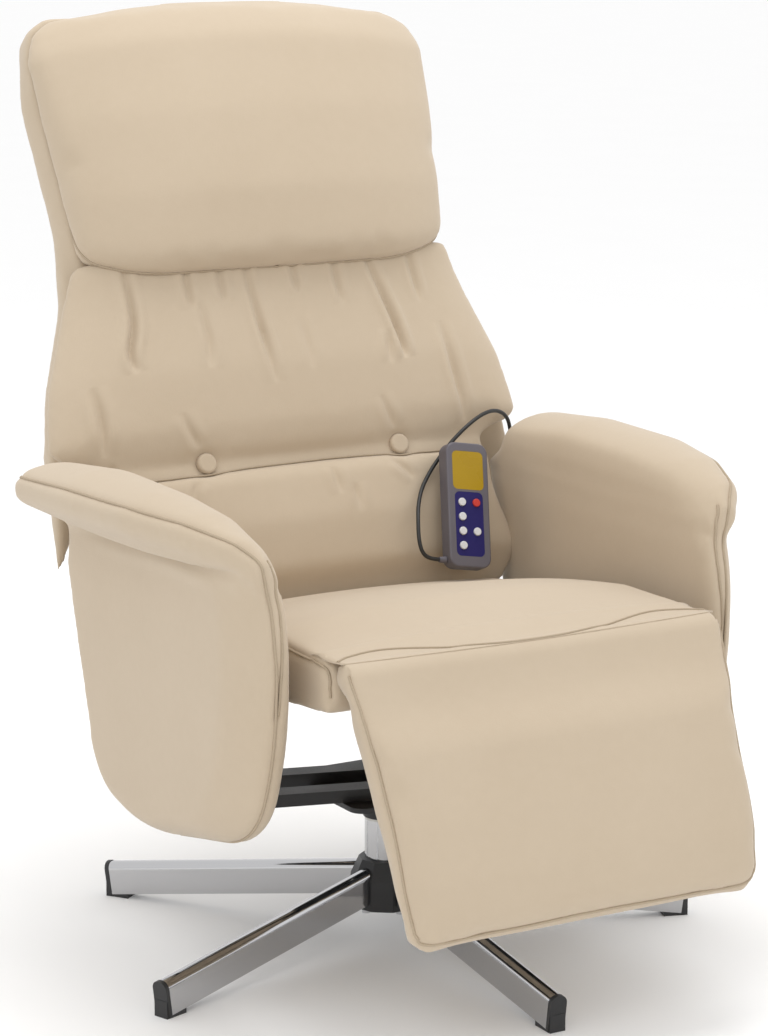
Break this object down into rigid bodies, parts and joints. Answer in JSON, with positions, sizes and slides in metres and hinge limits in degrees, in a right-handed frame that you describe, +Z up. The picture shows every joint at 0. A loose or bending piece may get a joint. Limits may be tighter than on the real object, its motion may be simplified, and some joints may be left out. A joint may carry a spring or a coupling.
{
  "type": "massage recliner chair",
  "caption": "Upholstered massage recliner with tilting back, lifting footrest, flared padded arms, corded handset and a chrome star base that swivels.",
  "frame": {"origin": "on the floor under the swivel axis", "axes": "+Z up along the swivel axis, the chair faces -Y, +X is the left hand of the person who sits in it"},
  "size_m": [0.78, 0.895, 1.0854],
  "materials": {
    "upholstery": "matte cream microfibre cloth",
    "chrome": "bright chrome plate",
    "black_plastic": "moulded black plastic",
    "black_steel": "black powder coat",
    "plywood": "raw plywood",
    "plated_steel": "zinc plated steel",
    "nylon": "natural nylon",
    "handset_case": "moulded grey violet plastic",
    "handset_screen": "yellow clear window",
    "handset_keypad": "blue printed panel",
    "key_white": "white rubber key",
    "key_red": "red rubber key",
    "cord_black": "black cord sheath"
  },
  "bodies": {
    "base": {"base_column": "chrome", "base_hub": "black_plastic", "base_leg_1": "chrome", "base_leg_2": "chrome", "base_leg_3": "chrome", "base_leg_4": "chrome", "base_leg_5": "chrome", "leg_caps": "black_plastic", "leg_bolts": "plated_steel", "swivel_bushes": "nylon"},
    "carriage": {"arm_board_left": "plywood", "arm_board_right": "plywood", "arm_inner_pad_left": "upholstery", "arm_inner_pad_right": "upholstery", "arm_outer_pad_left": "upholstery", "arm_outer_pad_right": "upholstery", "arm_rest_left": "upholstery", "arm_rest_right": "upholstery", "arm_studs": "plated_steel", "control_box": "black_plastic", "cord_grommet": "black_plastic", "cord_relief": "handset_case", "cross_arm_front": "black_steel", "cross_arm_rear": "black_steel", "footrest_hinge_arms": "black_steel", "footrest_pins": "plated_steel", "handset_back": "handset_case", "handset_cord": "cord_black", "handset_front": "handset_case", "handset_keypad": "handset_keypad", "handset_screen": "handset_screen", "power_inlet": "black_plastic", "seat_board": "plywood", "seat_cushion": "upholstery", "seat_motors": "plated_steel", "side_plate_left": "black_steel", "side_plate_right": "black_steel", "swivel_plate": "black_steel", "swivel_spindle": "black_steel"},
    "backrest": {"lumbar_cushion": "upholstery", "mid_back_cushion": "upholstery", "headrest_pillow": "upholstery", "tuft_buttons": "upholstery", "back_frame": "plywood", "back_shell": "upholstery", "back_brackets": "black_steel", "recline_shaft": "black_steel", "back_motors": "plated_steel", "head_motors": "plated_steel"},
    "footrest": {"footrest_board": "plywood", "footrest_pad": "upholstery", "footrest_clevises": "black_steel"},
    "push_rod": {"push_rod": "black_steel"},
    "key_1": {"handset_key_1": "key_white"},
    "key_2": {"handset_key_2": "key_red"},
    "key_3": {"handset_key_3": "key_white"},
    "key_4": {"handset_key_4": "key_white"},
    "key_5": {"handset_key_5": "key_white"},
    "key_6": {"handset_key_6": "key_white"}
  },
  "joints": [
    {"name": "swivel", "type": "hinge", "parent": "base", "child": "carriage", "pos_m": [0, 0, 0.1], "axis": [0, 0, 1], "continuous": true},
    {"name": "recline", "type": "hinge", "parent": "carriage", "child": "backrest", "pos_m": [0, 0.165, 0.345], "axis": [-1, 0, 0], "range_deg": [0, 30]},
    {"name": "footrest_lift", "type": "hinge", "parent": "carriage", "child": "footrest", "pos_m": [0, -0.318, 0.413], "axis": [-1, 0, 0], "range_deg": [0, 60]},
    {"name": "rod_push", "type": "slide", "parent": "carriage", "child": "push_rod", "axis": [0, -1, 0], "range_m": [0, 0.066]},
    {"name": "key_1_press", "type": "slide", "parent": "carriage", "child": "key_1", "axis": [0, 0.9336, -0.3584], "range_m": [0, 0.001], "stiffness_N_per_m": 500},
    {"name": "key_2_press", "type": "slide", "parent": "carriage", "child": "key_2", "axis": [0, 0.9336, -0.3584], "range_m": [0, 0.001], "stiffness_N_per_m": 500},
    {"name": "key_3_press", "type": "slide", "parent": "carriage", "child": "key_3", "axis": [0, 0.9336, -0.3584], "range_m": [0, 0.001], "stiffness_N_per_m": 500},
    {"name": "key_4_press", "type": "slide", "parent": "carriage", "child": "key_4", "axis": [0, 0.9336, -0.3584], "range_m": [0, 0.001], "stiffness_N_per_m": 500},
    {"name": "key_5_press", "type": "slide", "parent": "carriage", "child": "key_5", "axis": [0, 0.9336, -0.3584], "range_m": [0, 0.001], "stiffness_N_per_m": 500},
    {"name": "key_6_press", "type": "slide", "parent": "carriage", "child": "key_6", "axis": [0, 0.9336, -0.3584], "range_m": [0, 0.001], "stiffness_N_per_m": 500}
  ],
  "couplings": [
    {"joint": "footrest_lift", "follows": "recline", "ratio": 2},
    {"joint": "rod_push", "follows": "recline", "m_per_rad": 0.12605}
  ]
}
